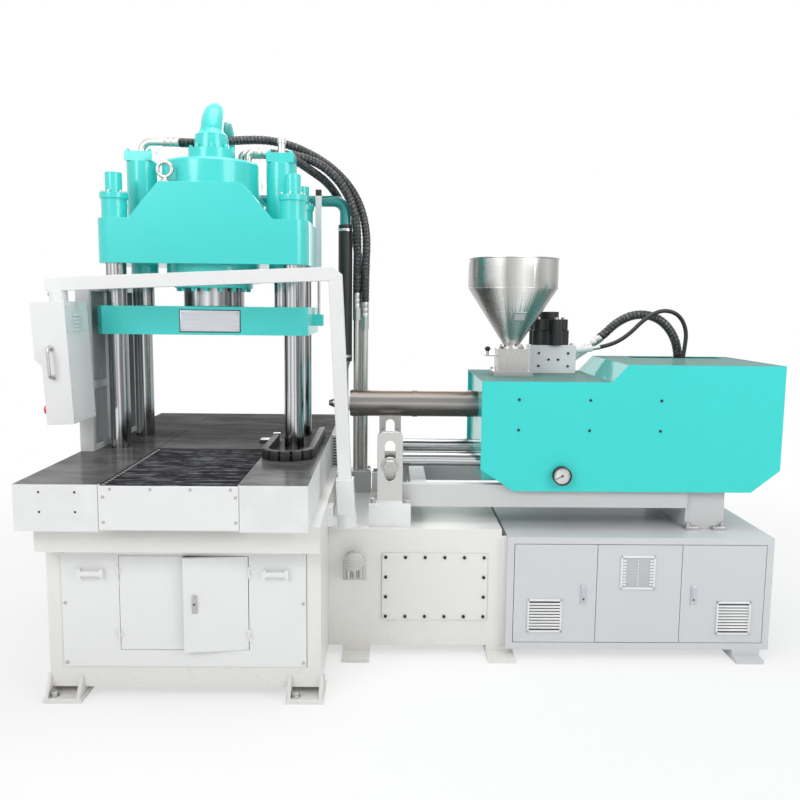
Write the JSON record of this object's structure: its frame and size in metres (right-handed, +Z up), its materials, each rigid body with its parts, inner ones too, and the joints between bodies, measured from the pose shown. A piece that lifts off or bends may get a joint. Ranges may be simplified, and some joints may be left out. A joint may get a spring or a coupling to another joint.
{
  "type": "injection moulding machine",
  "caption": "Vertical-clamp injection moulding machine: column press with shuttle table, side injection unit on an oil tank and cabinet, and a control box on a swing arm.",
  "frame": {"origin": "on the floor under the clamp axis, midway between the columns", "axes": "+X along the screw axis towards the injection unit, +Y to the back, +Z up"},
  "size_m": [3.4174, 2.06, 2.675],
  "materials": {
    "white_paint": "smooth semi-gloss white paint",
    "warm_white_paint": "smooth semi-gloss warm white paint",
    "teal_paint": "glossy turquoise paint",
    "table_steel": "ground dark steel top, painted sides",
    "chrome": "hard chrome, polished",
    "bright_steel": "turned bright steel",
    "stainless": "brushed stainless sheet",
    "zinc": "zinc-plated steel tube",
    "black_rubber": "black hose rubber",
    "black_plastic": "matt black plastic",
    "grey_paint": "light grey paint",
    "aluminium": "anodised profile",
    "red_plastic": "glossy red plastic",
    "black_iron": "black coated casting",
    "gauge_dial": "white dial in a steel case"
  },
  "bodies": {
    "base": {"press_base": "warm_white_paint", "base_front_panel": "warm_white_paint", "table_bed": "table_steel", "channel_panel": "white_paint", "bellows": "black_rubber", "cable_chain": "black_plastic", "tie_bars": "chrome", "tie_bar_nuts": "teal_paint", "top_platen": "teal_paint", "main_cylinder": "teal_paint", "booster_cylinders": "teal_paint", "prefill_valve": "teal_paint", "prefill_pipe": "teal_paint", "return_pipe": "teal_paint", "return_hose": "black_rubber", "steel_pipes": "zinc", "rear_manifold": "grey_paint", "top_hose_1": "black_rubber", "top_hose_2": "black_rubber", "top_hose_3": "black_rubber", "travel_sensor": "aluminium", "safety_guard": "white_paint", "arm_bracket": "white_paint", "oil_tank": "warm_white_paint", "tank_hatch": "warm_white_paint", "filler_cap": "aluminium", "cabinet_shell": "white_paint", "injection_bed": "white_paint", "bed_brackets": "white_paint", "rod_end_block": "bright_steel", "guide_rods": "chrome"},
    "platen": {"moving_platen": "teal_paint", "main_ram": "chrome", "booster_rods": "chrome", "sensor_rod": "bright_steel"},
    "slide": {"slide_plate": "table_steel"},
    "arm": {"arm_post": "white_paint", "arm_beam": "white_paint"},
    "control": {"control_box": "white_paint", "box_handle": "bright_steel"},
    "stop": {"estop_button": "red_plastic"},
    "base_leaf_left": {"base_door_left": "warm_white_paint"},
    "base_leaf_right": {"base_door_right": "warm_white_paint"},
    "cabinet_leaf_left": {"cabinet_door_left": "white_paint"},
    "cabinet_leaf_right": {"cabinet_door_right": "white_paint"},
    "carriage": {"injection_cover": "teal_paint", "injection_housing": "teal_paint", "barrel": "bright_steel", "nozzle": "bright_steel", "hopper": "stainless", "hopper_base": "bright_steel", "valve_block": "grey_paint", "motor_valve": "black_iron", "pressure_gauge": "gauge_dial", "thick_hose": "black_rubber", "thin_hose": "black_rubber"},
    "crosshead": {"injection_crosshead": "bright_steel"},
    "screw_shaft": {"screw": "bright_steel"},
    "gate": {"hopper_gate": "bright_steel"},
    "needle": {"gauge_needle": "black_plastic"}
  },
  "joints": [
    {"name": "clamp", "type": "slide", "parent": "base", "child": "platen", "axis": [0, 0, 1], "range_m": [-0.25, 0]},
    {"name": "shuttle", "type": "slide", "parent": "base", "child": "slide", "axis": [0, 1, 0], "range_m": [-0.5, 0], "deforming": ["bellows", "cable_chain"]},
    {"name": "carriage_travel", "type": "slide", "parent": "base", "child": "carriage", "axis": [1, 0, 0], "range_m": [-0.28, 0]},
    {"name": "injection_stroke", "type": "slide", "parent": "carriage", "child": "crosshead", "axis": [1, 0, 0], "range_m": [0, 0.15]},
    {"name": "screw_turn", "type": "hinge", "parent": "crosshead", "child": "screw_shaft", "pos_m": [1.9, 0, 1.163], "axis": [1, 0, 0], "continuous": true},
    {"name": "arm_swing", "type": "hinge", "parent": "base", "child": "arm", "pos_m": [0.698, -0.51, 0.717], "axis": [-0.0471, 0, 0.9989], "range_deg": [0, 110]},
    {"name": "box_swivel", "type": "hinge", "parent": "arm", "child": "control", "pos_m": [-0.57603, -0.51, 1.66404], "axis": [-0.0471, 0, 0.9989], "range_deg": [-90, 90]},
    {"name": "stop_push", "type": "slide", "parent": "control", "child": "stop", "axis": [0.9989, 0, 0.0471], "range_m": [0, 0.006], "stiffness_N_per_m": 900},
    {"name": "base_door_left_swing", "type": "hinge", "parent": "base", "child": "base_leaf_left", "pos_m": [-0.232, -0.8695, 0.43], "axis": [0, 0, 1], "range_deg": [-110, 0]},
    {"name": "base_door_right_swing", "type": "hinge", "parent": "base", "child": "base_leaf_right", "pos_m": [0.312, -0.8695, 0.43], "axis": [0, 0, 1], "range_deg": [-7, 103]},
    {"name": "cabinet_door_left_swing", "type": "hinge", "parent": "base", "child": "cabinet_leaf_left", "pos_m": [1.505, -0.46, 0.32], "axis": [0, 0, 1], "range_deg": [-110, 0]},
    {"name": "cabinet_door_right_swing", "type": "hinge", "parent": "base", "child": "cabinet_leaf_right", "pos_m": [2.65, -0.46, 0.32], "axis": [0, 0, 1], "range_deg": [0, 110]},
    {"name": "gate_pull", "type": "slide", "parent": "carriage", "child": "gate", "axis": [-1, 0, 0], "range_m": [0, 0.09]},
    {"name": "needle_turn", "type": "hinge", "parent": "carriage", "child": "needle", "pos_m": [1.715, -0.38, 0.866], "axis": [0, 1, 0], "range_deg": [0, 240]}
  ]
}
